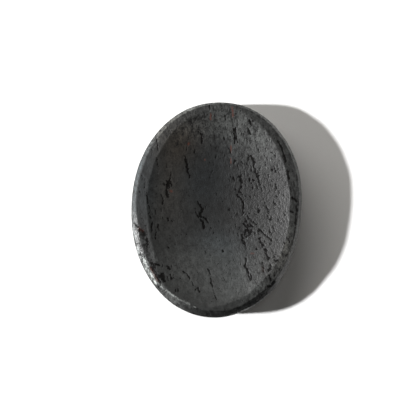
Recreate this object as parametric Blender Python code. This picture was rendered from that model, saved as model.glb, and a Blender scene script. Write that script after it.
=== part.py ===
"""A hand-ground massage stone: one oval piece of rock with a hollow for the thumb in its upper face.

Metres, +Z up. The stone rests on its ground base at Z = 0, its long axis lies along Y, and the middle of
its outline is on the Z axis. It is one body, because the real stone is cut from one block and holds nothing.

The surface is a sphere that has been pulled onto the stone's sections: the north pole is the floor of the
hollow, and the rings of latitude run up the hollow's side, over its crest, across the level land, down the
bevel and the wall, round the belly, and in under the base to the south pole.
"""

from math import acos, cos, hypot, pi, radians, sin, tan

import bmesh
import bpy
from mathutils import Vector

MM = 0.001

# The outline at its widest, and the height
LENGTH = 45.0 * MM
WIDTH = 35.6 * MM
THICKNESS = 9.0 * MM
GIRDLE_HEIGHT = 4.2 * MM

# A pure ellipse has a squareness of 2. A hand-ground outline also swells beyond the oval in some places and
# is flatter in others, as (bearing from +X in degrees, swelling).
OUTLINE_SQUARENESS = 2.09
OUTLINE_SWELLS = (
    (0, -0.09 * MM),
    (22, 0.25 * MM),
    (42, 0.15 * MM),
    (62, 0.05 * MM),
    (98, -0.21 * MM),
    (125, -0.15 * MM),
    (162, 0.10 * MM),
    (195, -0.02 * MM),
    (222, -0.15 * MM),
    (250, 0.00 * MM),
    (272, 0.18 * MM),
    (303, -0.16 * MM),
    (317, 0.06 * MM),
    (335, -0.12 * MM),
)

# The hollow for the thumb
HOLLOW_DEPTH = 2.4 * MM
HOLLOW_BOTTOM = Vector((0.5, 0.5)) * MM

# The rim is the stone left round the hollow, as (bearing from +X in degrees, width). It was ground by eye,
# so it is widest on the left and thinnest at the top.
RIM_WIDTHS = (
    (0, 2.5 * MM),
    (22, 2.8 * MM),
    (45, 2.5 * MM),
    (62, 2.1 * MM),
    (88, 1.2 * MM),
    (115, 2.0 * MM),
    (140, 2.8 * MM),
    (175, 3.3 * MM),
    (205, 3.6 * MM),
    (232, 2.0 * MM),
    (255, 1.9 * MM),
    (280, 2.8 * MM),
    (300, 2.8 * MM),
    (316, 3.1 * MM),
    (335, 2.5 * MM),
)

# The outer part of the rim is bevelled down to the wall, over these widths.
BEVEL_WIDTHS = (
    (0, 0.85 * MM),
    (60, 0.70 * MM),
    (92, 0.55 * MM),
    (130, 0.85 * MM),
    (170, 1.05 * MM),
    (212, 1.25 * MM),
    (230, 1.75 * MM),
    (252, 1.80 * MM),
    (275, 1.65 * MM),
    (300, 1.50 * MM),
    (316, 1.45 * MM),
    (335, 0.95 * MM),
)

# How steeply the bevel falls at its top, in degrees. It grows steeper by BEVEL_ROUND towards its foot.
BEVEL_FALLS = (
    (0, 52),
    (50, 54),
    (95, 32),
    (170, 31),
    (215, 24),
    (240, 21),
    (265, 25),
    (305, 29),
    (325, 50),
)
BEVEL_ROUND = radians(8)

# The inner part of the rim is the land, nearly level.
LAND_FALL = radians(4)

# The wall bulges by this much between the bevel and the girdle.
WALL_BULGE = 0.20 * MM
WALL_TOP_FALL = radians(66)

# The belly rounds the girdle in under the stone, down to the flat that was ground for it to rest on.
BELLY_WIDTH = 3.4 * MM

# How finely the stone is faceted
SEGMENTS = 96
HOLLOW_RINGS = 11
LAND_RINGS = 2
BEVEL_RINGS = 3
WALL_RINGS = 5
BELLY_RINGS = 7

STONE_GREY = (0.020, 0.020, 0.021, 1.0)
STONE_ROUGHNESS = 0.5


def smooth_round(stops, angle):
    """A smooth value all the way round, through (bearing in degrees, value) stops (Catmull-Rom)."""
    bearing = angle / pi * 180 % 360
    after = sum(stop[0] <= bearing for stop in stops)
    run = [stops[(after + step) % len(stops)] for step in (-2, -1, 0, 1)]
    span = (run[2][0] - run[1][0]) % 360
    share = (bearing - run[1][0]) % 360 / span
    before, start, end, beyond = (value for _, value in run)
    bend = 2 * before - 5 * start + 4 * end - beyond
    twist = 3 * (start - end) + beyond - before
    return start + share / 2 * (end - before + share * (bend + share * twist))


def wrapped_power(value, power):
    """value to a power below 1, with value's own sign."""
    return abs(value) ** power * (1 if value >= 0 else -1)


def outline(angle, inset=0.0):
    """The stone's outline at its girdle, or the same oval drawn in from it."""
    x = (WIDTH / 2 - inset) * wrapped_power(cos(angle), 2 / OUTLINE_SQUARENESS)
    y = (LENGTH / 2 - inset) * wrapped_power(sin(angle), 2 / OUTLINE_SQUARENESS)
    return Vector((x, y)) * (1 + smooth_round(OUTLINE_SWELLS, angle) / hypot(x, y))


def land_edge(angle):
    """How far in from the outline the land begins, how wide it is, and how high its outer edge is."""
    inset = smooth_round(BEVEL_WIDTHS, angle)
    width = max(smooth_round(RIM_WIDTHS, angle) - inset, 0.0)
    return inset, width, THICKNESS - width * tan(LAND_FALL)


def hollow_point(angle, share):
    """share runs from 0 at the hollow's floor to 1 at its crest."""
    crest = outline(angle, smooth_round(RIM_WIDTHS, angle))
    return HOLLOW_BOTTOM.lerp(crest, share), THICKNESS - HOLLOW_DEPTH * (1 - share**2)


def land_point(angle, share):
    inset, width, _ = land_edge(angle)
    return outline(angle, inset + width * (1 - share)), THICKNESS - width * share * tan(LAND_FALL)


def bevel_point(angle, share):
    """The bevel grows steeper towards its foot."""
    inset, _, top = land_edge(angle)
    width = inset - WALL_BULGE
    top_fall = radians(smooth_round(BEVEL_FALLS, angle))
    fall = share * tan(top_fall) + share**2 / 2 * (tan(top_fall + BEVEL_ROUND) - tan(top_fall))
    return outline(angle, inset - width * share), top - width * fall


def wall_point(angle, share):
    """A curve that leaves the bevel's foot steeply and is upright at the girdle."""
    _, top = bevel_point(angle, 1.0)
    corner = top - WALL_BULGE * tan(WALL_TOP_FALL)
    rest = 1 - share
    height = rest**2 * top + 2 * share * rest * corner + share**2 * GIRDLE_HEIGHT
    return outline(angle, WALL_BULGE * rest**2), height


def belly_point(angle, share):
    """A quarter of an ellipse, upright at the girdle and level at the base."""
    turn = share * pi / 2
    return outline(angle, BELLY_WIDTH * (1 - cos(turn))), GIRDLE_HEIGHT * (1 - sin(turn))


def sections():
    """One (function, share) for each ring of the stone, from the hollow's floor to the base's edge."""
    bands = (
        (hollow_point, HOLLOW_RINGS),
        (land_point, LAND_RINGS),
        (bevel_point, BEVEL_RINGS),
        (wall_point, WALL_RINGS),
        (belly_point, BELLY_RINGS),
    )
    return [(band, ring / rings) for band, rings in bands for ring in range(1, rings + 1)]


def pull_onto_stone(mesh, rings):
    """Moves each vertex of a unit sphere to the stone's surface."""
    for vertex in mesh.verts:
        latitude = round(acos(max(-1.0, min(1.0, vertex.co.z))) / pi * (len(rings) + 1))
        if latitude == 0:
            point, height = HOLLOW_BOTTOM, THICKNESS - HOLLOW_DEPTH
        elif latitude > len(rings):
            point, height = Vector((0.0, 0.0)), 0.0
        else:
            band, share = rings[latitude - 1]
            angle = vertex.co.xy.angle_signed(Vector((1.0, 0.0)))
            point, height = band(angle, share)
        vertex.co = (*point, height)


def centre_outline(mesh):
    """Puts the middle of the outline's box on the Z axis."""
    xs = [vertex.co.x for vertex in mesh.verts]
    ys = [vertex.co.y for vertex in mesh.verts]
    middle = Vector((min(xs) + max(xs), min(ys) + max(ys), 0.0)) / 2
    bmesh.ops.translate(mesh, verts=mesh.verts, vec=-middle)


def stone_material():
    material = bpy.data.materials.new("ground_basalt")
    material.use_nodes = True
    shader = material.node_tree.nodes["Principled BSDF"]
    shader.inputs["Base Color"].default_value = STONE_GREY
    shader.inputs["Roughness"].default_value = STONE_ROUGHNESS
    shader.inputs["Metallic"].default_value = 0.0
    return material


def stone_body():
    rings = sections()
    sphere = bmesh.new()
    bmesh.ops.create_uvsphere(sphere, u_segments=SEGMENTS, v_segments=len(rings) + 1, radius=1.0)
    pull_onto_stone(sphere, rings)
    centre_outline(sphere)
    south_pole = min(sphere.verts, key=lambda vertex: (vertex.co.z, vertex.co.xy.length))
    bmesh.ops.dissolve_verts(sphere, verts=[south_pole])
    mesh = bpy.data.meshes.new("stone_body")
    sphere.to_mesh(mesh)
    sphere.free()
    mesh.shade_smooth()
    mesh.set_sharp_from_angle(angle=radians(20))
    mesh.materials.append(stone_material())
    return bpy.data.objects.new("stone_body", mesh)


def clear_scene():
    for thing in list(bpy.data.objects):
        bpy.data.objects.remove(thing)


def main():
    clear_scene()
    collection = bpy.data.collections.new("massage_stone")
    bpy.context.scene.collection.children.link(collection)
    collection.objects.link(stone_body())


main()
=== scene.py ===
"""The looks of a hand-ground massage stone: fissured, satin-worn rock on a white table in studio light."""
from math import cos, pi, radians, sin, tan

import bpy
import numpy as np
from mathutils import Matrix, Vector, noise


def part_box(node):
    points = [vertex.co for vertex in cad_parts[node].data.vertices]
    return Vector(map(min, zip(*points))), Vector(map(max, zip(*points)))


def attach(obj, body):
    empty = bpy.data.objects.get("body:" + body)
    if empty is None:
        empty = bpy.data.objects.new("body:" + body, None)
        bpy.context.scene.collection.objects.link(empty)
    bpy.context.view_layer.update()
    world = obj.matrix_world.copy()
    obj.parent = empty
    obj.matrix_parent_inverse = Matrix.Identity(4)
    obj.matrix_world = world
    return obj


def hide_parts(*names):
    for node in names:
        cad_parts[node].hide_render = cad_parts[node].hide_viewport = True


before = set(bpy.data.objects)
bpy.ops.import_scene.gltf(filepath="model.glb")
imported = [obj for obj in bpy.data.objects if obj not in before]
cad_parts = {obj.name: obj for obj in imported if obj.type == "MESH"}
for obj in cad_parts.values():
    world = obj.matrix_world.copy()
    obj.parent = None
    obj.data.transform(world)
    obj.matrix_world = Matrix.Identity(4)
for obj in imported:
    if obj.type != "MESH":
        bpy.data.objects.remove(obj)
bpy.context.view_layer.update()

MM = 0.001

# ------------------------------------------------------------------ the stone's sizes, in millimetres
LOW, HIGH = (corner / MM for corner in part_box("stone_body"))
WIDTH = HIGH.x - LOW.x
LENGTH = HIGH.y - LOW.y
THICKNESS = HIGH.z - LOW.z
GIRDLE_HEIGHT = 4.2
OUTLINE_SQUARENESS = 2.09
# How far the outline swells beyond the oval: (bearing from +X in degrees, swelling).
OUTLINE_SWELLS = (
    (0, -0.09),
    (22, 0.25),
    (42, 0.15),
    (62, 0.05),
    (98, -0.21),
    (125, -0.15),
    (162, 0.10),
    (195, -0.02),
    (222, -0.15),
    (250, 0.00),
    (272, 0.18),
    (303, -0.16),
    (317, 0.06),
    (335, -0.12),
)
HOLLOW_DEPTH = 2.4
HOLLOW_BOTTOM = np.array((0.5, 0.5))
# The rim round the hollow: (bearing from +X in degrees, width).
RIM_WIDTHS = (
    (0, 2.5),
    (22, 2.8),
    (45, 2.5),
    (62, 2.1),
    (88, 1.2),
    (115, 2.0),
    (140, 2.8),
    (175, 3.3),
    (205, 3.6),
    (232, 2.0),
    (255, 1.9),
    (280, 2.8),
    (300, 2.8),
    (316, 3.1),
    (335, 2.5),
)
# The bevelled outer part of the rim, in the same way, and how steep its top is in degrees.
BEVEL_WIDTHS = (
    (0, 0.85),
    (60, 0.70),
    (92, 0.55),
    (130, 0.85),
    (170, 1.05),
    (212, 1.25),
    (230, 1.75),
    (252, 1.80),
    (275, 1.65),
    (300, 1.50),
    (316, 1.45),
    (335, 0.95),
)
BEVEL_FALLS = (
    (0, 52),
    (50, 54),
    (95, 32),
    (170, 31),
    (215, 24),
    (240, 21),
    (265, 25),
    (305, 29),
    (325, 50),
)
BEVEL_ROUND = radians(8)
LAND_FALL = radians(4)
WALL_BULGE = 0.20
WALL_TOP_FALL = radians(66)
BELLY_WIDTH = 3.4

# ------------------------------------------------------------------ how finely the surface is meshed
HOLLOW_GRID = 104
COLUMNS = 8 * HOLLOW_GRID
LAND_ROWS = 12
BEVEL_ROWS = 14
WALL_ROWS = 9
BELLY_ROWS = 11
BASE_GRID = HOLLOW_GRID // 2
BASE_GRID_SHARE = 0.97

# ------------------------------------------------------------------ the rock
# A vertex's place on the section is 0 to 1 up the hollow, then up to 2 over the land, 3 over the bevel,
# 4 over the wall and 5 over the belly. Each look takes over from the one inside it between two such places.
LAND_BEGINS = (0.99, 1.05)
BEVEL_BEGINS = (1.95, 2.15)
WALL_BEGINS = (3.15, 3.65)
# The fissures, painted shade lines, painted glints and rust of the upper face fade out here, and the
# bruises and painted highlights a little further in.
UPPER_FACE_ENDS = (3.1, 3.5)
BRUISES_AND_HIGHLIGHTS_END = (2.95, 3.20)

# The grain runs from the upper left to the lower right of the hollow.
GRAIN_TURN = radians(14)
ROCK_SEED = Vector((3.7, 11.3, 5.9))

# Roughness, before the grain changes it. Freshly broken rock shines a little more.
POLISHED = 0.50
GROUND = 0.62
FRESH_SHINE = 0.12

# Relief, in millimetres.
FISSURE_DEPTH = 0.05
RIPPLE_HEIGHT = 0.02
POLISHED_LUMPS = 0.003
GROUND_LUMPS = 0.020

# How far the hand-ground edges waver, and how many times.
RIM_WANDER = 0.16
BEVEL_WANDER = 0.10
WANDER_BENDS = 5.0

# The open pores of the rock: how wide and long, how much of the surface they take, how deep, and how much
# they crowd together on the right side of the hollow.
PORE_WIDTH = 0.26
PORE_LENGTH = 1.2
PORE_SHARE = 0.030
PORE_DEPTH = 0.04
PORE_CROWDING = 0.16
# Where the pores crowd together: (x, y, reach across, reach along, how much).
COARSE_PATCHES = (
    (-10.5, -13.5, 3.0, 3.0, 0.14),
    (-13.0, -2.0, 1.0, 5.0, 0.12),
    (7.0, -3.5, 2.0, 3.0, 0.14),
    (12.0, 8.0, 2.5, 6.0, 0.05),
    (3.0, 17.5, 4.5, 3.0, 0.08),
)

# How pale the rock is. Grinding dust and dry grain make it paler in places, and painted sheen makes the
# ends and the right side of the hollow paler still: (x, y, reach across, reach along, how much paler).
DARKEST = 0.004
DUST_AND_SHEEN_PATCHES = (
    (-11.0, 4, 5.0, 14, 0.014),
    (-6.0, -13, 8.0, 6, 0.018),
    (5.0, -16, 6.0, 5, 0.020),
    (1.0, 19, 7.0, 5, 0.024),
    (9.0, 15, 5.0, 5, 0.028),
    (9.0, -12, 5.0, 6, 0.008),
    (16.0, 6, 4.0, 12, -0.010),
    (1.0, -8, 6.0, 4, 0.011),
    (14.0, 3.5, 1.5, 2.5, -0.012),
    (-7.0, 17.0, 2.5, 2.5, 0.009),
)
# Patches where the land is paler or darker, given in the same way.
LAND_PALENESS = 0.013
LAND_PATCHES = (
    (1.6, 20, 5.0, 2.0, 0.007),
    (-14.4, 5.5, 2.0, 4, -0.006),
    (14.4, -7.3, 2.0, 5, 0.022),
    (10.0, -16.0, 3.0, 2.5, 0.014),
    (-15.9, -3.2, 0.9, 3.0, -0.010),
)
WALL_PALENESS = 0.030

# Where the rock is brownish, and where it is bluish: (x, y, reach across, reach along, how warm).
TINTS = (
    (-8.0, 13, 4.5, 4.5, 0.34),
    (-9.5, 4, 4.0, 8, 0.18),
    (-2.0, 6, 5.0, 6, -0.35),
    (0.0, -6, 6.0, 3, -0.12),
    (-15.5, 4, 2.5, 9, -0.25),
    (14.0, -8, 4.0, 6, 0.10),
    (4.0, -6, 6.0, 10, -0.08),
)
COOL_TINT = (0.62, 1.0, 1.24, 1.0)
WARM_TINT = (1.28, 1.0, 0.70, 1.0)
RUST_COLOUR = (0.060, 0.016, 0.009, 1.0)
# The dull dark of the fissures and pores: painted shade and dirt.
SHADE_AND_DIRT_COLOUR = (0.0020, 0.0018, 0.0016, 1.0)

# The bevel was left as it came from the grinding wheel. Its paleness also holds painted light: it is paler
# on the right, a painted reflection of the lit table, and darker along the bottom, partly a smoother facet
# and
# partly painted shade: (bearing from +X in degrees, paleness, roughness).
BEVEL_FINISH_AND_PAINTED_LIGHT = (
    (0, 0.060, 0.42),
    (45, 0.060, 0.42),
    (75, 0.056, 0.50),
    (110, 0.062, 0.58),
    (135, 0.048, 0.60),
    (152, 0.035, 0.62),
    (182, 0.032, 0.60),
    (196, 0.022, 0.50),
    (215, 0.060, 0.42),
    (225, 0.050, 0.46),
    (233, 0.026, 0.60),
    (243, 0.040, 0.60),
    (256, 0.016, 0.52),
    (268, 0.009, 0.40),
    (314, 0.007, 0.40),
    (323, 0.040, 0.42),
    (332, 0.052, 0.42),
    (345, 0.075, 0.42),
)

# Bruised stone, and painted highlights where the lower left crest and the bottom rim catch the light, both
# paler still: (width, how bruised, the points that it runs through).
BRUISES_AND_HIGHLIGHTS = (
    (0.55, 1.0, (-14.4, -11.0), (-13.6, -13.0), (-12.6, -14.5), (-11.6, -15.9)),
    (0.45, 0.4, (-16.9, -4.6), (-16.4, -6.6)),
    (0.50, 0.7, (-16.0, -8.6), (-15.2, -10.6)),
    # painted highlight along the lower left crest
    (0.28, 0.5, (-10.8, -16.4), (-8.8, -17.6), (-6.6, -18.9)),
    (0.24, 0.3, (-6.6, -18.9), (-4.4, -19.8)),
    (1.00, 0.10, (-12.6, -9.9), (-12.0, -11.2)),
    (0.24, 0.3, (-3.6, -20.2), (-3.0, -20.4)),
    (0.30, 0.12, (-13.8, 11.8), (-12.6, 14.0)),
    # painted highlight along the bottom rim
    (0.20, 0.25, (4.0, -21.6), (5.2, -21.3)),
    (0.30, 0.5, (5.6, -21.1), (6.4, -20.8), (8.0, -19.9)),
    (0.20, 0.25, (8.3, -19.7), (9.3, -19.1)),
)
BRUISE_AND_HIGHLIGHT_PALENESS = 0.22

# Painted glints: pale spots where crystal faces catch the light: (x, y, radius).
PAINTED_GLINTS = (
    (10.6, 11.0, 0.16),
    (11.4, 12.3, 0.14),
    (11.2, 6.4, 0.14),
    (13.0, 2.2, 0.16),
    (12.3, -2.0, 0.18),
    (6.8, -5.6, 0.18),
    (9.9, 9.4, 0.12),
    (-10.4, -14.6, 0.12),
)
PAINTED_GLINT_PALENESS = 0.10

# The open fissures of the upper face, and a few wide dark bands of painted shade: (width, how open, the
# points that it runs through).
FISSURES_AND_SHADE_LINES = (
    # the long one right of the middle, and what breaks off it
    (0.50, 1.00, (4.1, 3.5), (4.6, 3.1), (5.1, 2.6), (5.4, 2.0), (5.65, 1.4), (5.7, 0.8), (5.6, 0.3)),
    (0.40, 0.89, (5.8, -0.1), (5.5, -0.7)),
    (0.25, 0.55, (4.2, 2.4), (4.6, 1.9)),
    (0.90, 1.00, (4.5, 7.2), (4.7, 6.6), (4.9, 6.0)),
    (0.55, 0.79, (4.9, 6.0), (4.95, 5.2), (4.7, 4.5)),
    (0.55, 0.79, (4.6, 4.2), (5.2, 3.6)),
    (0.45, 1.00, (3.2, 6.9), (3.4, 6.4)),
    (0.30, 0.71, (3.7, 4.8), (3.7, 4.4)),
    # the crossed fissures left of the middle
    (0.46, 1.00, (-3.9, 1.5), (-3.5, 0.9), (-3.1, 0.2)),
    (0.80, 1.00, (-3.1, 0.1), (-3.05, -0.5), (-3.2, -1.0)),
    (0.35, 1.00, (-3.2, -1.0), (-3.6, -1.8)),
    (0.34, 1.00, (-4.3, 0.1), (-4.2, -0.8), (-3.6, -1.8), (-3.0, -2.4)),
    (0.66, 1.00, (-3.0, -2.4), (-2.5, -3.2), (-2.4, -3.9)),
    (0.44, 1.00, (-3.3, -1.5), (-2.4, -1.7), (-1.8, -2.3), (-1.5, -2.8)),
    (0.45, 0.55, (-1.2, -3.9), (-1.0, -4.4)),
    # the upper left
    (0.38, 1.00, (-4.6, 16.0), (-3.9, 15.3), (-3.8, 14.5), (-3.7, 13.6)),
    (0.40, 0.64, (-5.4, 11.8), (-5.0, 11.4)),
    (0.35, 0.79, (-7.3, 10.9), (-7.0, 10.7)),
    (0.66, 1.00, (-6.9, 10.2), (-6.7, 9.2), (-6.5, 8.2)),
    (0.50, 1.00, (-6.4, 7.6), (-6.0, 7.0), (-5.9, 6.5)),
    (0.30, 0.71, (-10.8, 8.6), (-10.7, 8.1)),
    (0.28, 0.79, (-9.9, 7.4), (-9.9, 6.0), (-10.1, 5.2)),
    (1.40, 1.00, (-10.2, 5.0), (-10.4, 4.5)),
    (0.62, 1.00, (-10.5, 4.2), (-10.5, 3.2), (-10.2, 2.3)),
    (0.34, 0.93, (-11.8, 2.8), (-11.4, 2.1), (-11.1, 1.4), (-11.2, 0.5)),
    (0.36, 0.55, (-5.9, 2.8), (-5.85, 2.5)),
    (0.40, 0.93, (-9.95, -2.3), (-9.9, -2.9)),
    # the upper middle
    (0.42, 0.89, (0.7, 19.6), (0.8, 18.9)),
    (0.28, 0.64, (1.2, 21.1), (1.25, 20.7)),
    (0.28, 0.64, (0.5, 20.2), (0.55, 19.8)),
    (0.30, 0.64, (2.1, 19.0), (2.4, 18.1)),
    (0.45, 1.00, (2.6, 17.0), (2.9, 16.0), (3.05, 15.0), (3.05, 14.1)),
    (0.42, 1.00, (3.0, 17.2), (3.2, 16.0), (3.45, 15.2), (3.6, 14.3)),
    (0.34, 0.57, (4.7, 16.3), (4.9, 15.4)),
    (0.50, 0.93, (5.7, 18.9), (6.15, 18.2), (6.2, 17.7)),
    (0.45, 0.93, (5.6, 17.4), (5.9, 16.7), (6.3, 16.0)),
    (0.36, 0.79, (6.5, 18.95), (6.6, 18.8)),
    (0.36, 0.93, (0.7, 15.2), (0.9, 14.7)),
    (0.42, 1.00, (1.9, 12.9), (2.3, 12.2)),
    (0.55, 0.93, (3.3, 10.5), (3.1, 10.0)),
    (0.34, 0.86, (4.55, 10.5), (4.95, 10.0)),
    (0.34, 0.55, (3.9, 9.5), (4.3, 8.6)),
    (0.26, 0.55, (7.6, 13.9), (8.0, 12.4)),
    # the long diagonal of the right side
    (0.90, 0.85, (7.0, 11.0), (7.4, 10.3)),
    (0.36, 0.86, (7.2, 10.0), (7.3, 9.4), (7.6, 9.0)),
    (0.36, 0.80, (7.5, 11.0), (7.6, 10.2)),
    (0.75, 1.00, (7.75, 8.4), (8.25, 7.5)),
    (0.44, 0.90, (8.25, 7.5), (8.5, 6.6), (8.85, 5.8)),
    (0.38, 0.80, (9.1, 5.2), (9.3, 4.6)),
    (0.36, 0.80, (8.1, 5.9), (8.4, 5.0), (8.6, 4.5)),
    (0.46, 0.90, (6.6, 7.1), (6.65, 6.4), (6.85, 5.9)),
    (0.40, 0.80, (7.25, 6.8), (7.4, 6.6)),
    (0.30, 0.80, (6.3, 8.0), (6.25, 7.4)),
    (0.34, 0.75, (6.7, 9.1), (6.95, 8.7)),
    (0.30, 0.75, (7.4, 5.3), (7.3, 4.7)),
    (0.34, 0.75, (5.75, 10.1), (5.95, 9.3)),
    (0.34, 0.80, (6.0, 11.3), (6.1, 10.7)),
    (0.34, 0.80, (8.0, 13.2), (8.2, 12.4)),
    (0.40, 0.80, (10.6, 12.6), (10.95, 12.5)),
    (0.30, 0.80, (10.9, 11.3), (10.95, 11.0)),
    (0.40, 0.80, (11.6, 13.3), (11.8, 13.2)),
    (0.44, 0.80, (11.6, 9.2), (11.9, 8.6)),
    (0.36, 0.75, (12.3, 9.3), (12.35, 9.0)),
    (0.30, 0.75, (11.9, 6.3), (12.2, 5.1)),
    (0.30, 0.79, (9.7, 2.9), (10.1, 1.8), (10.6, 0.9), (11.0, -0.1), (11.5, -0.9)),
    (0.42, 0.86, (11.3, -1.2), (11.5, -1.4)),
    (0.30, 0.57, (5.9, 10.6), (6.1, 9.6), (6.0, 8.8)),
    (0.70, 0.72, (7.2, 11.0), (7.4, 10.0)),
    (0.44, 0.85, (6.3, 11.7), (6.6, 11.6)),
    # the broken patch below and right of the middle
    (0.48, 1.00, (6.6, -0.9), (7.0, -1.5)),
    (0.34, 0.86, (6.1, -1.4), (6.4, -2.2)),
    (0.42, 0.93, (5.7, -2.5), (6.3, -2.9), (6.6, -3.3)),
    (0.40, 0.93, (7.1, -2.4), (7.5, -2.8), (7.9, -3.0)),
    (1.10, 1.00, (6.6, -3.8), (7.2, -4.2)),
    (1.60, 0.74, (6.5, -2.3), (6.9, -3.2), (7.0, -4.0)),
    (0.50, 1.00, (6.2, -3.8), (6.5, -4.6)),
    (0.48, 0.93, (7.6, -3.8), (7.2, -4.9)),
    (0.42, 0.93, (7.4, -1.6), (8.0, -2.1), (8.6, -2.6)),
    (0.50, 1.00, (8.9, -3.2), (9.3, -3.6)),
    (0.40, 1.00, (9.3, -3.6), (10.2, -4.4), (10.9, -4.9), (11.4, -5.1), (11.8, -5.7)),
    (0.34, 0.79, (9.1, -3.4), (9.1, -4.4), (9.3, -5.6)),
    (0.62, 1.00, (9.4, -5.4), (9.5, -6.1), (10.1, -6.7)),
    (0.40, 0.90, (6.2, -6.3), (6.45, -7.2), (6.55, -7.8)),
    (0.36, 0.90, (8.8, -7.2), (8.8, -7.8)),
    (0.30, 0.71, (5.1, -3.2), (5.5, -4.2)),
    (0.50, 1.00, (5.7, -4.9), (5.8, -5.8), (6.3, -6.7)),
    (0.36, 0.93, (6.55, -5.2), (6.6, -5.4)),
    (0.44, 0.93, (8.7, 0.7), (8.9, 0.0)),
    (0.34, 0.71, (8.1, -0.3), (8.4, -0.5)),
    (0.36, 0.93, (2.6, 0.6), (2.75, 0.0)),
    (0.26, 0.71, (4.3, -0.5), (4.5, -1.7)),
    (0.45, 0.86, (11.9, 2.4), (12.2, 1.9), (12.4, 1.3)),
    (0.36, 0.79, (12.0, 3.5), (12.5, 3.4)),
    (0.36, 0.71, (7.8, 3.6), (8.1, 3.4)),
    (0.32, 0.79, (11.9, -2.5), (12.0, -3.1)),
    (0.44, 0.86, (14.3, -5.9), (14.6, -6.2)),
    # the lower half
    (0.45, 0.86, (1.7, -8.3), (1.95, -8.6)),
    (0.46, 1.00, (6.7, -9.7), (6.8, -10.6), (6.6, -11.3)),
    (0.50, 1.00, (6.6, -11.3), (7.0, -12.0), (7.5, -12.7)),
    (0.34, 0.93, (7.3, -12.6), (7.6, -13.4), (7.9, -14.2)),
    (0.30, 0.86, (7.6, -12.6), (8.15, -13.3), (8.1, -14.1)),
    (0.76, 1.00, (10.6, -7.6), (10.9, -8.5), (11.4, -9.3)),
    (0.40, 1.00, (10.2, -9.9), (10.3, -11.1), (10.55, -12.3)),
    (0.60, 0.90, (11.9, -10.7), (11.9, -11.4), (11.5, -11.9)),
    (0.62, 0.86, (12.8, -9.9), (13.2, -9.8)),
    (0.40, 0.93, (-1.15, -12.3), (-0.8, -12.8), (-0.55, -13.4)),
    (0.42, 1.00, (-0.35, -14.3), (-0.2, -15.2), (0.1, -15.9)),
    (0.28, 0.79, (0.1, -15.9), (0.45, -17.1), (1.05, -18.5)),
    (0.32, 0.57, (-1.8, -8.5), (-1.7, -9.3)),
    (0.34, 0.86, (-6.2, -13.1), (-5.5, -13.5), (-4.9, -14.3), (-4.3, -15.0), (-3.9, -15.9)),
    (0.40, 0.79, (-3.4, -16.8), (-3.1, -16.4), (-2.8, -16.5)),
    (0.48, 1.00, (-2.85, -16.4), (-2.5, -17.1)),
    (0.62, 1.00, (-9.6, -12.2), (-9.35, -12.4), (-8.95, -12.7)),
    (0.30, 0.71, (-8.0, -12.0), (-7.6, -12.1)),
    (1.20, 1.00, (-10.45, -13.9), (-10.35, -14.5)),
    (0.80, 1.00, (-10.35, -14.5), (-9.95, -15.3)),
    (0.42, 0.86, (-8.85, -13.9), (-8.4, -14.8)),
    (0.30, 0.75, (-9.5, -14.1), (-9.1, -15.1)),
    (0.40, 0.75, (-7.5, -16.9), (-7.4, -17.3)),
    (0.60, 0.85, (-12.7, -12.2), (-12.2, -13.5), (-11.8, -14.3)),
    (0.60, 0.85, (-11.3, -14.8), (-10.7, -15.8), (-10.9, -16.6)),
    (0.40, 0.90, (-12.8, -11.9), (-11.9, -11.8), (-11.1, -12.1)),
    (0.36, 0.79, (-9.6, -8.2), (-9.25, -8.5)),
    (0.30, 0.71, (-10.0, -10.4), (-9.9, -10.5)),
    (0.34, 0.80, (-7.05, -16.8), (-6.95, -17.5)),
    # the left of the crest and the land beside it
    (0.36, 0.79, (-14.6, 2.8), (-14.4, 1.4), (-14.3, 0.6)),
    (0.36, 0.79, (-14.0, 0.1), (-13.7, -0.8), (-13.9, -1.6)),
    (0.40, 0.86, (-13.7, -1.9), (-13.4, -2.5)),
    (0.44, 0.79, (-13.2, -3.5), (-13.1, -5.0)),
    (0.40, 0.86, (-12.0, -3.7), (-11.7, -4.8)),
    (0.42, 0.86, (-12.2, -5.4), (-12.2, -6.6)),
    (0.30, 0.71, (-15.8, 6.4), (-15.6, 5.2)),
    (0.32, 0.71, (-15.1, 5.6), (-15.1, 3.7)),
    (0.30, 0.71, (-16.3, 3.9), (-16.0, 2.8)),
    (0.30, 0.57, (-15.7, -1.6), (-15.2, -2.7)),
    (0.44, 0.90, (-16.8, -3.8), (-15.8, -4.8), (-15.0, -5.3), (-14.4, -6.0), (-14.0, -6.9), (-13.9, -8.4)),
    (1.00, 0.66, (-16.4, -4.4), (-15.8, -5.4)),
    # wide dark bands of painted shade over the lower left land and crest
    (2.30, 0.60, (-15.2, -5.4), (-14.7, -6.9)),
    (1.60, 0.56, (-14.8, -7.0), (-14.3, -8.6)),
    (1.60, 0.54, (-14.3, -8.6), (-13.7, -10.2), (-12.9, -11.6)),
    (1.00, 0.50, (-14.6, -4.2), (-14.0, -6.6), (-13.4, -8.8)),
    (1.30, 0.70, (-12.9, -11.8), (-12.1, -13.2), (-11.2, -14.6)),
    (0.36, 0.79, (-13.3, 14.0), (-12.9, 12.7), (-12.7, 11.5)),
    (0.34, 0.71, (-13.0, 10.2), (-12.7, 8.6)),
    (0.34, 0.79, (-12.4, -11.8), (-11.5, -12.0)),
    # the land of the right side
    (0.60, 1.00, (15.6, 3.5), (16.2, 3.2), (16.6, 2.7)),
    (0.55, 1.00, (15.5, 0.7), (15.8, 0.3)),
    (0.50, 0.80, (16.4, 1.8), (16.7, 0.6)),
    (0.45, 0.70, (16.7, 0.4), (16.5, -0.8), (16.4, -2.2)),
    (0.34, 0.66, (16.5, -2.6), (16.4, -4.4), (16.0, -5.8), (15.7, -7.2), (15.3, -8.4)),
    (0.50, 0.90, (12.0, 15.0), (12.7, 14.0), (13.1, 12.8), (13.4, 12.0), (13.8, 10.8)),
    (0.44, 0.90, (14.2, 9.2), (14.5, 8.2), (14.7, 7.3)),
    (0.30, 0.80, (14.9, 5.8), (15.3, 4.6)),
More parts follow.
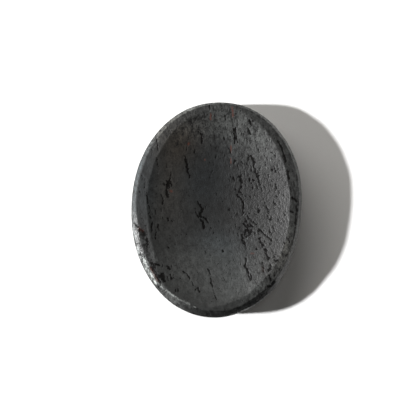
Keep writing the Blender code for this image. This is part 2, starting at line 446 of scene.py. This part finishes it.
    (0.30, 0.70, (16.1, 7.0), (16.3, 5.8), (16.5, 4.8)),
    (0.60, 0.90, (11.7, -12.9), (12.0, -14.0)),
    (0.70, 1.00, (11.4, -15.2), (12.3, -14.9), (12.9, -14.2)),
    (0.40, 0.90, (12.9, -12.7), (12.8, -13.0)),
)

# Each streak fades out between these shares of its width, and nothing of it is left beyond the reach.
STREAK_EDGE = (0.12, 0.68)
STREAK_REACH = 2

# Rust along a few hairlines and in a few grains: (width, strength, the points that it runs through).
RUST = (
    (0.34, 1.0, (2.1, 21.4), (2.25, 20.5), (2.3, 19.6)),
    (0.26, 1.0, (2.3, 13.6), (2.4, 12.2)),
    (0.22, 1.0, (2.4, 10.9), (2.5, 9.8)),
    (0.50, 1.0, (-6.5, 13.5), (-6.6, 13.4)),
    (0.50, 1.0, (-9.7, 3.5), (-9.5, 3.3)),
    (0.30, 1.0, (-3.1, 10.4), (-3.0, 10.3)),
    (0.34, 1.0, (-2.4, 19.9), (-2.2, 18.6)),
    (0.45, 0.6, (7.8, -8.6), (8.1, -8.6)),
    (0.30, 0.5, (10.3, -11.3), (10.5, -12.2)),
    (0.60, 0.6, (-12.9, -12.8), (-12.2, -13.8), (-11.4, -15.3)),
    (0.50, 1.0, (-15.9, -4.7), (-15.0, -5.2)),
)

# Chips and flats of the edge, each a plane cut across the rim: (bearing from +X in degrees, inset from the
# outline, depth, lean of the plane away from the middle in degrees).
CHIPS = (
    (188, 0.6, 0.04, 34),
    (194, 0.5, 0.06, 27),
    (200, 0.3, 0.07, 42),
    (206, 0.7, 0.06, 25),
    (212, 0.9, 0.09, 28),
    (217, 0.4, 0.10, 44),
    (222, 1.1, 0.08, 22),
    (228, 0.6, 0.10, 40),
    (233, 0.5, 0.05, 34),
    (113, 0.3, 0.06, 42),
    (140, 0.4, 0.05, 38),
    (36, 0.3, 0.05, 66),
    (12, 0.3, 0.04, 66),
    (-20, 0.3, 0.05, 66),
    (-36, 0.3, 0.05, 66),
)


# ------------------------------------------------------------------ the stone's sections
def smooth_round(stops, angle):
    """A smooth value all the way round, through (bearing in degrees, value) stops (Catmull-Rom)."""
    bearings, values = np.array(stops).T
    after = np.searchsorted(bearings, np.degrees(angle) % 360, side="right")
    last, following = ((after + step) % len(stops) for step in (-1, 0))
    before, beyond = ((after + step) % len(stops) for step in (-2, 1))
    span = (bearings[following] - bearings[last]) % 360
    share = (np.degrees(angle) - bearings[last]) % 360 / span
    before, start, end, beyond = (values[stop] for stop in (before, last, following, beyond))
    bend = 2 * before - 5 * start + 4 * end - beyond
    twist = 3 * (start - end) + beyond - before
    return start + share / 2 * (end - before + share * (bend + share * twist))


def signed_power(value, power):
    return np.sign(value) * np.abs(value) ** power


def outline(angle, inset=0.0):
    """The stone's outline at its girdle, or the same oval drawn in from it."""
    x = (WIDTH / 2 - inset) * signed_power(np.cos(angle), 2 / OUTLINE_SQUARENESS)
    y = (LENGTH / 2 - inset) * signed_power(np.sin(angle), 2 / OUTLINE_SQUARENESS)
    return np.stack((x, y), -1) * (1 + smooth_round(OUTLINE_SWELLS, angle) / np.hypot(x, y))[:, None]


def wander(angle, seed):
    """The small wavering of an edge that was ground by hand, from about -1 to 1."""
    steps = np.stack((np.cos(angle), np.sin(angle), np.full_like(angle, seed)), -1) * WANDER_BENDS
    return rock_noise(steps, 3)


def land_edge(angle):
    """How far in from the outline the land begins, how wide it is, and how high its outer edge is."""
    inset = smooth_round(BEVEL_WIDTHS, angle) + BEVEL_WANDER * wander(angle, 0.3)
    rim = smooth_round(RIM_WIDTHS, angle) + RIM_WANDER * wander(angle, 0.8)
    width = np.maximum(rim - inset, 0)
    return inset, width, THICKNESS - width * tan(LAND_FALL)


def hollow_point(angle, share):
    """share runs from 0 at the hollow's floor to 1 at its crest."""
    inset, width, _ = land_edge(angle)
    points = HOLLOW_BOTTOM + (outline(angle, inset + width) - HOLLOW_BOTTOM) * share[:, None]
    return points, THICKNESS - HOLLOW_DEPTH * (1 - share**2)


def land_point(angle, share):
    inset, width, _ = land_edge(angle)
    return outline(angle, inset + width * (1 - share)), THICKNESS - width * share * tan(LAND_FALL)


def bevel_point(angle, share):
    """The bevel grows steeper towards its foot."""
    inset, _, top = land_edge(angle)
    width = inset - WALL_BULGE
    top_fall = np.radians(smooth_round(BEVEL_FALLS, angle))
    fall = share * np.tan(top_fall) + share**2 / 2 * (np.tan(top_fall + BEVEL_ROUND) - np.tan(top_fall))
    return outline(angle, inset - width * share), top - width * fall


def wall_point(angle, share):
    """A curve that leaves the bevel's foot steeply and is upright at the girdle."""
    _, top = bevel_point(angle, 1.0)
    corner = top - WALL_BULGE * tan(WALL_TOP_FALL)
    rest = 1 - share
    height = rest**2 * top + 2 * share * rest * corner + share**2 * GIRDLE_HEIGHT
    return outline(angle, WALL_BULGE * rest**2), height


def belly_point(angle, share):
    """A quarter of an ellipse, upright at the girdle and level at the base."""
    turn = share * pi / 2
    points = outline(angle, BELLY_WIDTH * (1 - cos(turn)))
    return points, np.full(len(angle), GIRDLE_HEIGHT * (1 - sin(turn)))


def base_point(angle, share):
    return outline(angle, BELLY_WIDTH) * share[:, None] * BASE_GRID_SHARE, np.zeros(len(angle))


# ------------------------------------------------------------------ the mesh
def disc_grid(cells):
    """A square grid pulled onto a disc: each vertex's angle and its share of the way out, the quads, and
    the vertices of the edge in the order of their angles."""
    steps = np.arange(-cells, cells + 1)
    x, y = (axis.ravel() for axis in np.meshgrid(steps, steps))
    ring = np.maximum(abs(x), abs(y))
    side = np.maximum(ring, 1)
    angle = np.select(
        (x == ring, y == ring, x == -ring),
        (pi / 4 * y / side, pi / 2 - pi / 4 * x / side, pi - pi / 4 * y / side),
        3 * pi / 2 + pi / 4 * x / side,
    )
    edge = np.flatnonzero(ring == cells)
    edge = edge[np.argsort(angle[edge])]
    row = len(steps)
    first = (np.arange(row - 1)[:, None] * row + np.arange(row - 1)).ravel()
    quads = np.stack((first, first + 1, first + 1 + row, first + row), 1)
    return angle, ring / cells, quads, edge


def band_quads(inner, outer):
    """The quads between two loops of as many vertices."""
    return np.stack((inner, outer, np.roll(outer, -1), np.roll(inner, -1)), 1)


def halving_faces(inner, outer):
    """The faces between a loop and one of half as many vertices."""
    corners = (inner[::2], outer, np.roll(outer, -1), np.roll(inner[::2], -1), inner[1::2])
    return np.stack(corners, 1)


def with_height(section):
    points, height = section
    return np.column_stack((points, height))


def smooth_stone():
    """The ground stone before its pores, fissures and chips: its vertices in millimetres, its faces, and
    each vertex's bearing and place on the section."""
    angle, share, quads, crest_loop = disc_grid(HOLLOW_GRID)
    vertices = [with_height(hollow_point(angle, share))]
    bearings, places = [angle], [share]
    faces = quads.tolist()
    around = angle[crest_loop]
    loop, start = crest_loop, len(angle)
    bands = (
        (land_point, LAND_ROWS),
        (bevel_point, BEVEL_ROWS),
        (wall_point, WALL_ROWS),
        (belly_point, BELLY_ROWS),
    )
    for inner, (band, rows) in enumerate(bands, start=1):
        for row in range(1, rows + 1):
            vertices.append(with_height(band(around, row / rows)))
            bearings.append(around)
            places.append(np.full(COLUMNS, inner + row / rows))
            following = start + np.arange(COLUMNS)
            faces += band_quads(loop, following).tolist()
            loop, start = following, start + COLUMNS
    angle, share, quads, edge = disc_grid(BASE_GRID)
    vertices.append(with_height(base_point(angle, share)))
    bearings.append(angle)
    places.append(np.full(len(angle), len(bands) + 1.0))
    faces += halving_faces(loop, start + edge).tolist()
    faces += (start + quads[:, ::-1]).tolist()
    return np.concatenate(vertices), faces, np.concatenate(bearings), np.concatenate(places)


def centred(points):
    """Puts the middle of the outline's box where the frame has it."""
    middle = (points.min(0) + points.max(0)) / 2
    wanted = np.array((LOW + HIGH) / 2)
    shift = wanted - middle
    shift[2] = 0
    return points + shift


# ------------------------------------------------------------------ what grinding and wear left, and painted light and shade
def rock_noise(points, octaves):
    """Noise from about -1 to 1, the same on each run."""
    return np.array([noise.fractal(Vector(point) + ROCK_SEED, 1.0, 2.0, octaves) for point in points])


def eased(value, low, high):
    """0 below low and 1 above high, with a smooth step between them."""
    share = np.clip((value - low) / (high - low), 0, 1)
    return share * share * (3 - 2 * share)


def along_grain(points, across, along):
    """Points turned so that the grain runs along Y, in units of the grain's own width and length."""
    turned = points.copy()
    turned[:, :2] = points[:, :2] @ np.array(Matrix.Rotation(GRAIN_TURN, 2))
    return turned / (across, along, across)


def distance_to_path(points, path):
    """How far each point of the plane is from a path of straight stretches."""
    nearest = np.full(len(points), np.inf)
    for start, end in zip(path[:-1], path[1:]):
        start, run = np.array(start), np.subtract(end, start)
        share = np.clip((points - start) @ run / (run @ run), 0, 1)
        nearest = np.minimum(nearest, np.linalg.norm(points - start - share[:, None] * run, axis=1))
    return nearest


def outward(bearing):
    """The direction that the outline faces at a bearing."""
    before, after = outline(np.radians((bearing - 1.0, bearing + 1.0)))
    along = Vector(after - before).normalized()
    return np.array((along.y, -along.x))


def chipped(points, place):
    """Cuts the chips off the edge. Gives the moved points, and how far each was moved."""
    start = points.copy()
    edge = (place > 1) & (place < 4.5)
    top = (place > 1) & (place <= 3)
    for bearing, inset, depth, lean in CHIPS:
        middle = outline(np.array([radians(bearing)]), inset)[0]
        nearest = np.argmin(np.linalg.norm(points[:, :2] - middle, axis=1) + 100 * ~top)
        facing = np.append(sin(radians(lean)) * outward(bearing), cos(radians(lean)))
        above = (points - points[nearest]) @ facing + depth
        points = points - np.where(edge & (above > 0), above, 0)[:, None] * facing
    return points, np.linalg.norm(points - start, axis=1)


def path_mask(points, ragged, streaks, soft):
    """From 0 to a streak's own strength, how far inside any of the streaks each point is."""
    mask = np.zeros(len(points))
    for width, strength, *path in streaks:
        low = np.min(path, 0) - STREAK_REACH * width
        high = np.max(path, 0) + STREAK_REACH * width
        near = np.flatnonzero(((points > low) & (points < high)).all(1))
        away = distance_to_path(points[near], path) + ragged[near] * width * soft
        inner, outer = (share * width for share in STREAK_EDGE)
        mask[near] = np.maximum(mask[near], strength * (1 - eased(away, inner, outer)))
    return mask


def patched(points, patches):
    """The sum of soft oval patches."""
    total = np.zeros(len(points))
    for x, y, across, along, amount in patches:
        reach = ((points[:, 0] - x) / across) ** 2 + ((points[:, 1] - y) / along) ** 2
        total += amount * np.exp(-reach)
    return total


def paleness_with_painted_light(points, bearing, place, ragged):
    """How much light the dry rock gives back, from 0 to 1, without its fine grain, with painted sheen,
    reflection and shade added to it.
    """
    pale_with_painted_light = DARKEST + patched(points, DUST_AND_SHEEN_PATCHES)
    # The bevel's paleness by bearing, painted reflection and painted shade included.
    stops, bevel_tones_and_painted_light, _ = zip(*BEVEL_FINISH_AND_PAINTED_LIGHT)
    bevel = smooth_round(tuple(zip(stops, bevel_tones_and_painted_light)), bearing)
    waver = place + 0.15 * ragged
    pale_with_painted_light += (LAND_PALENESS + patched(points, LAND_PATCHES) - pale_with_painted_light) * eased(waver, *LAND_BEGINS)
    pale_with_painted_light += (bevel - pale_with_painted_light) * eased(waver, *BEVEL_BEGINS)
    pale_with_painted_light += (WALL_PALENESS - pale_with_painted_light) * eased(waver, *WALL_BEGINS)
    return pale_with_painted_light


def coarseness(bearing, place):
    """The roughness of the surface. The hollow and the land are polished, and the bevel is only ground."""
    stops, _, values = zip(*BEVEL_FINISH_AND_PAINTED_LIGHT)
    bevel = smooth_round(tuple(zip(stops, values)), bearing)
    coarse = POLISHED + (bevel - POLISHED) * eased(place, *BEVEL_BEGINS)
    return coarse + (GROUND - coarse) * eased(place, *WALL_BEGINS)


def weathered(mesh, points, bearing, place):
    """Cuts chips, pores and fissures into the smooth stone, and stores on the mesh how each place looks,
    painted shade, highlights and glints included.
    """
    points, cut = chipped(points, place)
    fresh = eased(cut, 0.005, 0.04)
    set_points(mesh, points)
    normals = vertex_normals(mesh)

    flat = points[:, :2]
    upper = 1 - eased(place, *UPPER_FACE_ENDS)
    polished = place <= 2
    ragged = rock_noise(along_grain(points, 0.3, 0.6), 2)
    ripple = rock_noise(points / 4.0, 2)
    lumps = rock_noise(points / 0.7, 3)
    pores = rock_noise(along_grain(points, PORE_WIDTH, PORE_LENGTH), 3)
    right = eased(flat[:, 0] + 0.25 * flat[:, 1], 0, 7)
    pores += 0.16 * rock_noise(points / 6.0, 1) + PORE_CROWDING * right + patched(flat, COARSE_PATCHES)
    edge = np.quantile(pores, 1 - PORE_SHARE)
    pore = eased(pores, edge - 0.02, edge + 0.10)
    # The fissures, and the bands of painted shade.
    fissure_and_shade_line = path_mask(flat, ragged, FISSURES_AND_SHADE_LINES, 0.55) * upper
    opening_and_shade_line = np.maximum(fissure_and_shade_line, pore)

    height = RIPPLE_HEIGHT * ripple - PORE_DEPTH * pore**2 - FISSURE_DEPTH * fissure_and_shade_line**2
    height += np.where(polished & (fresh < 0.5), POLISHED_LUMPS, GROUND_LUMPS) * lumps
    set_points(mesh, points + normals * height[:, None])

    pale_with_painted_light = paleness_with_painted_light(points, bearing, place, ragged)
    # Paler bruised stone, and painted highlights along the lit edges.
    bruise_and_highlight = path_mask(flat, ragged, BRUISES_AND_HIGHLIGHTS, 0.8) * (1 - eased(place + 0.12 * ragged, *BRUISES_AND_HIGHLIGHTS_END))
    pale_with_painted_light += BRUISE_AND_HIGHLIGHT_PALENESS * bruise_and_highlight
    # Painted glints of crystal faces.
    for x, y, radius in PAINTED_GLINTS:
        pale_with_painted_light += PAINTED_GLINT_PALENESS * (1 - eased(np.hypot(*(flat - (x, y)).T), radius / 2, radius)) * upper
    add_mask(mesh, "opening_and_shade_line", opening_and_shade_line)
    add_mask(mesh, "paleness_with_painted_light", pale_with_painted_light)
    add_mask(mesh, "coarseness", coarseness(bearing, place) - FRESH_SHINE * fresh)
    smooth = 1 - np.maximum(right, eased(flat[:, 1], 10, 18))
    add_mask(mesh, "grain", np.where(polished, 1.0 - 0.55 * smooth, 1.0))
    add_mask(mesh, "rust", path_mask(flat, ragged, RUST, 0.5) * upper)
    add_mask(mesh, "warmth", 0.5 + patched(flat, TINTS))


def set_points(mesh, points):
    mesh.vertices.foreach_set("co", (points * MM).astype(np.float32).ravel())
    mesh.update()


def vertex_normals(mesh):
    normals = np.empty(len(mesh.vertices) * 3, np.float32)
    mesh.vertex_normals.foreach_get("vector", normals)
    return normals.reshape(-1, 3)


def add_mask(mesh, name, values):
    mask = mesh.attributes.new(name, "FLOAT", "POINT")
    mask.data.foreach_set("value", np.clip(values, 0, 1).astype(np.float32))


# ------------------------------------------------------------------ shader maths as expressions
class Value:
    """A number that varies over a surface. Arithmetic on it adds the Math nodes that work it out."""

    def __init__(self, finish, socket):
        self.finish = finish
        self.socket = socket

    def math(self, operation, *others):
        return self.finish.add("ShaderNodeMath", {"operation": operation}, dict(enumerate((self, *others))))

    def __add__(self, other):
        return self.math("ADD", other)

    def __radd__(self, other):
        return self.math("ADD", other)

    def __sub__(self, other):
        return self.math("SUBTRACT", other)

    def __rsub__(self, other):
        return self.math("MULTIPLY_ADD", -1.0, other)

    def __mul__(self, other):
        return self.math("MULTIPLY", other)

    def __rmul__(self, other):
        return self.math("MULTIPLY", other)

    def above(self, low, high):
        """0 below low and 1 above high, smooth between them."""
        inputs = {"Value": self, "From Min": low, "From Max": high}
        return self.finish.add("ShaderNodeMapRange", {"interpolation_type": "SMOOTHSTEP"}, inputs)


class Finish:
    """A material being made. Each node in it comes from add()."""

    def __init__(self, name):
        self.material = bpy.data.materials.new(name)
        self.material.use_nodes = True
        self.nodes = self.material.node_tree.nodes
        self.links = self.material.node_tree.links
        self.shader = self.nodes["Principled BSDF"]

    def fill(self, node, inputs):
        for name, value in inputs.items():
            if isinstance(value, Value):
                self.links.new(value.socket, node.inputs[name])
            else:
                node.inputs[name].default_value = value

    def add(self, kind, settings=None, inputs=None, output=0):
        node = self.nodes.new(kind)
        for name, value in (settings or {}).items():
            setattr(node, name, value)
        self.fill(node, inputs or {})
        return Value(self, node.outputs[output])

    def mask(self, name):
        return self.add("ShaderNodeAttribute", {"attribute_name": name}, output="Fac")

    def darkened(self, share, colour):
        """Lays a dull dark diffuse over the surface where share is 1: painted shade and dirt."""
        shade_and_dirt = self.add("ShaderNodeBsdfDiffuse", None, {"Color": colour})
        shown = Value(self, self.shader.outputs["BSDF"])
        both = self.add("ShaderNodeMixShader", None, {0: share, 1: shown, 2: shade_and_dirt})
        self.fill(self.nodes["Material Output"], {"Surface": both})

    def mixed(self, share, first, second):
        """The first colour where share is 0 and the second where it is 1."""
        inputs = {"Factor": share, 6: first, 7: second}
        return self.add("ShaderNodeMix", {"data_type": "RGBA"}, inputs, output=2)

    def scaled(self, vector, scale):
        inputs = {0: vector, 1: scale}
        return self.add("ShaderNodeVectorMath", {"operation": "MULTIPLY"}, inputs)

    def speckle(self, vector, size, detail, roughness):
        """Noise from 0 to 1, in lumps of the size that is given in millimetres."""
        place = self.scaled(vector, tuple(1 / (side * MM) for side in size))
        inputs = {"Vector": place, "Scale": 1.0, "Detail": detail, "Roughness": roughness}
        return self.add("ShaderNodeTexNoise", None, inputs)


def grey(value):
    return (value, value, value, 1.0)


# ------------------------------------------------------------------ the finishes
def rock_finish():
    """Near-black rock: satin where it was polished, paler and coarser where it was only ground. Its
    paleness holds painted light, and its openings painted shade and dirt.
    """
    rock = Finish("ground_rock_with_painted_light")
    place = rock.add("ShaderNodeTexCoord", output="Object")
    turn = {"Vector": place, "Angle": -GRAIN_TURN}
    turned = rock.add("ShaderNodeVectorRotate", {"rotation_type": "Z_AXIS"}, turn)
    opening_and_shade_line = rock.mask("opening_and_shade_line")
    pale_with_painted_light = rock.mask("paleness_with_painted_light")
    grain = rock.mask("grain")
    rust = rock.mask("rust")

    fibre = rock.speckle(turned, (0.24, 1.0, 0.24), 3.0, 0.6)
    speck = rock.speckle(place, (0.32, 0.32, 0.32), 2.0, 0.6)
    blotch = rock.speckle(turned, (0.7, 1.1, 0.7), 2.0, 0.5)
    cloud = rock.speckle(turned, (1.8, 2.8, 1.8), 2.0, 0.5)

    mottle = 0.5 * (fibre - 0.5) + (speck - 0.5) + 0.9 * (blotch - 0.5)
    amount = (pale_with_painted_light * (1.0 + grain * mottle * 4.2 + 0.8 * (cloud - 0.5))).math("MAXIMUM", 0.0)
    tint = rock.mixed(rock.mask("warmth"), COOL_TINT, WARM_TINT)
    body = rock.scaled(tint, amount)
    body = rock.mixed(rust * 0.85, body, RUST_COLOUR)

    relief = grain * (speck + 0.6 * fibre + 0.8 * blotch)
    bump = {"Strength": 1.0, "Distance": 0.060 * MM, "Height": relief}
    normal = rock.add("ShaderNodeBump", None, bump)
    roughness = rock.mask("coarseness") + 0.10 * (fibre - 0.5) + 0.16 * (blotch - 0.5)
    rock.fill(rock.shader, {"Base Color": body, "Roughness": roughness, "Normal": normal, "IOR": 1.45})

    # Painted shade and dirt in the fissures, pores and shade bands.
    crack_shade_and_dirt = (opening_and_shade_line + 0.9 * (speck - 0.5)).above(0.30, 0.74) * 0.85
    rock.darkened(crack_shade_and_dirt, SHADE_AND_DIRT_COLOUR)
    return rock.material


def table_finish():
    """A matt white card."""
    card = Finish("white_card")
    place = card.add("ShaderNodeTexCoord", output="Object")
    tooth = card.speckle(place, (0.5, 0.5, 0.5), 3.0, 0.5)
    colour = card.mixed(tooth, grey(0.80), grey(0.82))
    card.fill(card.shader, {"Base Color": colour, "Roughness": 0.9, "Specular IOR Level": 0.2})
    return card.material


# ------------------------------------------------------------------ the pieces
TABLE_SIZE = 3.0
# A hair of space keeps the stone's flat base and the table's face from lying in one plane.
TABLE_GAP = 0.02 * MM


def stone():
    points, faces, bearing, place = smooth_stone()
    points = centred(points)
    mesh = bpy.data.meshes.new("massage_stone")
    mesh.from_pydata(points * MM, [], faces)
    mesh.shade_smooth()
    weathered(mesh, points, bearing, place)
    mesh.materials.append(rock_finish())
    piece = bpy.data.objects.new("massage_stone", mesh)
    bpy.context.scene.collection.objects.link(piece)
    return piece


def table():
    mesh = bpy.data.meshes.new("table")
    half = TABLE_SIZE / 2
    corners = ((-half, -half, 0), (half, -half, 0), (half, half, 0), (-half, half, 0))
    mesh.from_pydata(corners, [], [(0, 1, 2, 3)])
    mesh.materials.append(table_finish())
    piece = bpy.data.objects.new("table", mesh)
    piece.location.z = -TABLE_GAP
    bpy.context.scene.collection.objects.link(piece)
    return piece


# ------------------------------------------------------------------ camera and light
# The view is straight down. Its upright leans by this much from the stone's long axis.
VIEW_TURN = radians(3.25)
VIEW_WIDTH = 87.85 * MM
VIEW_CENTRE = Vector((-1.75, 0.33)) * MM
LENS = 100.0
SENSOR = 36.0

# All lamps stand this far from the stone, in metres. The two soft ones are slightly warm.
LIGHT_DISTANCE = 0.8
WARM = (1.0, 0.975, 0.93)
ROOM_LIGHT = (1.0, 0.93, 0.82, 1.0)


def turned_with_view(vector):
    """A direction given as right and up in the view from above."""
    return Matrix.Rotation(VIEW_TURN, 3, "Z") @ Vector(vector)


def camera():
    data = bpy.data.cameras.new("camera")
    data.lens = LENS
    data.sensor_width = SENSOR
    data.clip_start = 0.01
    eye = bpy.data.objects.new("camera", data)
    height = VIEW_WIDTH * LENS / SENSOR + GIRDLE_HEIGHT * MM
    eye.location = (VIEW_CENTRE.x, VIEW_CENTRE.y, height)
    eye.rotation_euler.z = VIEW_TURN
    bpy.context.scene.collection.objects.link(eye)
    bpy.context.scene.camera = eye


def aimed_light(kind, name, side, elevation, strength):
    """A light that shines on the stone from a side of the view, given as an angle from its right."""
    data = bpy.data.lights.new(name, kind)
    data.energy = strength
    lamp = bpy.data.objects.new(name, data)
    flat = cos(elevation)
    towards = turned_with_view((flat * cos(side), flat * sin(side), sin(elevation)))
    lamp.location = towards * LIGHT_DISTANCE
    lamp.rotation_euler = towards.to_track_quat("Z", "Y").to_euler()
    bpy.context.scene.collection.objects.link(lamp)
    return data


def lights():
    key = aimed_light("SUN", "key", radians(181.9), radians(35.9), 6.6)
    key.angle = radians(3.6)
    fill = aimed_light("AREA", "window", radians(120), radians(31), 4.5)
    fill.shape = "RECTANGLE"
    fill.color = WARM
    fill.size = 0.95
    fill.size_y = 0.5
    top = aimed_light("AREA", "overhead", radians(35), radians(70), 0.65)
    top.color = WARM
    top.size = 0.5
    world = bpy.data.worlds.new("studio")
    world.use_nodes = True
    background = world.node_tree.nodes["Background"]
    background.inputs["Color"].default_value = ROOM_LIGHT
    background.inputs["Strength"].default_value = 0.005
    bpy.context.scene.world = world
    bpy.context.scene.view_settings.view_transform = "Standard"


# ------------------------------------------------------------------ the scene
camera()
lights()
table()
piece = stone()
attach(piece, "root")
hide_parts("stone_body")
